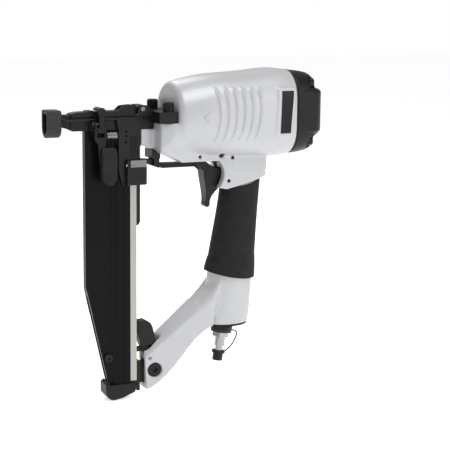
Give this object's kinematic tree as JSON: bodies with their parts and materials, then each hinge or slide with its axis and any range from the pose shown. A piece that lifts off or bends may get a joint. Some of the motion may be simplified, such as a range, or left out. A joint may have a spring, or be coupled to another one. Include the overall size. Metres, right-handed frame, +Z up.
{
  "type": "brad nailer",
  "caption": "Pneumatic brad nailer: cast housing with handle and arm, side-slide magazine, nose with quick-clear door, contact trip, trigger and capped air plug.",
  "frame": {"origin": "middle of the no-mar pad's front face, on the drive axis, where the brad leaves", "axes": "+X along the drive axis towards the rear cap, so a brad leaves towards -X; +Y to the side away from the quick-clear lever; +Z up, from the handle to the barrel"},
  "size_m": [0.25, 0.0711, 0.289],
  "materials": {
    "housing_paint": "light silver-grey satin paint on cast aluminium",
    "black_casting": "black satin moulding",
    "black_steel": "black-oxide steel",
    "anodised": "black anodised extrusion",
    "stainless": "drawn stainless strip",
    "bright_steel": "ground bright steel",
    "plated": "zinc plated",
    "grip_rubber": "fine-grained black rubber",
    "seal_rubber": "nitrile rubber",
    "brass": "turned brass",
    "bare_aluminium": "machined aluminium",
    "plate": "black name plate left blank",
    "bronze": "sintered bronze"
  },
  "bodies": {
    "root": {"housing": "housing_paint", "name_plate": "plate", "rear_cap": "black_casting", "rear_cap_screws": "black_steel", "rear_cap_gasket": "seal_rubber", "exhaust_silencer": "bronze", "cylinder_sleeve": "bare_aluminium", "cylinder_seals": "seal_rubber", "piston_bumper": "seal_rubber", "nose_body": "black_steel", "nose_screws": "black_steel", "door_hinge_pin": "bright_steel", "release_lever_pin": "bright_steel", "trip_return_spring": "bright_steel", "magazine_rail": "stainless", "magazine_bracket": "black_steel", "rail_foot_screw": "black_steel", "magazine_bolt": "black_steel", "magazine_nut": "bright_steel", "latch_pin": "bright_steel", "guide_bracket": "black_steel", "trigger_pin": "black_steel", "housing_pins": "black_steel", "valve_body": "brass", "valve_seal": "seal_rubber", "grip_sleeve": "grip_rubber", "inlet_end_cap": "black_casting", "inlet_bushing": "black_casting", "tether_ring": "seal_rubber", "air_plug": "plated", "dust_cap_tether": "seal_rubber"},
    "driver": {"piston": "bare_aluminium", "piston_ring": "seal_rubber", "driver_blade": "bright_steel"},
    "head_valve": {"head_valve": "black_casting", "head_valve_spring": "bright_steel"},
    "door": {"nose_door": "black_steel"},
    "lever": {"release_lever": "black_steel", "release_paddle": "black_casting", "release_hook_pin": "bright_steel"},
    "hook": {"release_hook": "black_steel"},
    "magazine_cover": {"magazine_cover": "anodised", "magazine_end_cap": "black_casting", "end_cap_screw": "black_steel", "pusher_spring": "bright_steel"},
    "pusher": {"brad_pusher": "bright_steel"},
    "trip": {"no_mar_pad": "seal_rubber", "contact_foot": "black_steel", "trip_side_rods": "black_steel", "trip_yoke": "black_casting", "yoke_clamp_bar": "bright_steel", "depth_set_screw": "brass", "trip_arm": "black_steel"},
    "trigger": {"trigger": "black_casting"},
    "valve_stem": {"valve_stem": "brass"},
    "latch": {"magazine_latch": "black_casting"},
    "dust_cap": {"dust_cap": "black_casting"}
  },
  "joints": [
    {"name": "driver_stroke", "type": "slide", "parent": "root", "child": "driver", "axis": [-1, 0, 0], "range_m": [0, 0.074]},
    {"name": "head_valve_lift", "type": "slide", "parent": "root", "child": "head_valve", "axis": [1, 0, 0], "range_m": [0, 0.004], "stiffness_N_per_m": 1500, "springref_m": -0.003},
    {"name": "contact_trip_press", "type": "slide", "parent": "root", "child": "trip", "axis": [1, 0, 0], "range_m": [0, 0.008], "stiffness_N_per_m": 500, "springref_m": -0.006},
    {"name": "trigger_pull", "type": "hinge", "parent": "root", "child": "trigger", "pos_m": [0.1353, 0, -0.0344], "axis": [0, -1, 0], "range_deg": [0, 8], "stiffness_Nm_per_rad": 0.4, "springref_deg": -8.59},
    {"name": "valve_stem_lift", "type": "slide", "parent": "root", "child": "valve_stem", "axis": [0, 0, 1], "range_m": [0, 0.0034]},
    {"name": "release_lever_swing", "type": "hinge", "parent": "root", "child": "lever", "pos_m": [0.0445, -0.0118, -0.0032], "axis": [-1, 0, 0], "range_deg": [0, 80]},
    {"name": "hook_swing", "type": "hinge", "parent": "lever", "child": "hook", "pos_m": [0.0445, -0.0126, -0.0086], "axis": [1, 0, 0], "range_deg": [0, 128.5]},
    {"name": "door_lift", "type": "hinge", "parent": "root", "child": "door", "pos_m": [0.0845, 0, 0.0082], "axis": [0, 1, 0], "range_deg": [0, 13]},
    {"name": "magazine_cover_slide", "type": "slide", "parent": "root", "child": "magazine_cover", "axis": [0, 0, -1], "range_m": [0, 0.18]},
    {"name": "pusher_slide", "type": "slide", "parent": "magazine_cover", "child": "pusher", "axis": [0, 0, -1], "range_m": [0, 0.125], "stiffness_N_per_m": 40, "springref_m": -0.08, "deforming": ["pusher_spring"]},
    {"name": "magazine_latch_press", "type": "hinge", "parent": "root", "child": "latch", "pos_m": [0.0915, 0, -0.213], "axis": [0, 1, 0], "range_deg": [0, 10], "stiffness_Nm_per_rad": 0.3, "springref_deg": -11.46},
    {"name": "dust_cap_pull", "type": "slide", "parent": "root", "child": "dust_cap", "axis": [-0.1305, 0, -0.9914], "range_m": [0, 0.014]}
  ],
  "couplings": [
    {"joint": "valve_stem_lift", "follows": "trigger_pull", "m_per_rad": 0.0236},
    {"joint": "hook_swing", "follows": "release_lever_swing", "ratio": 1.6},
    {"joint": "door_lift", "follows": "release_lever_swing", "ratio": 0.16}
  ]
}
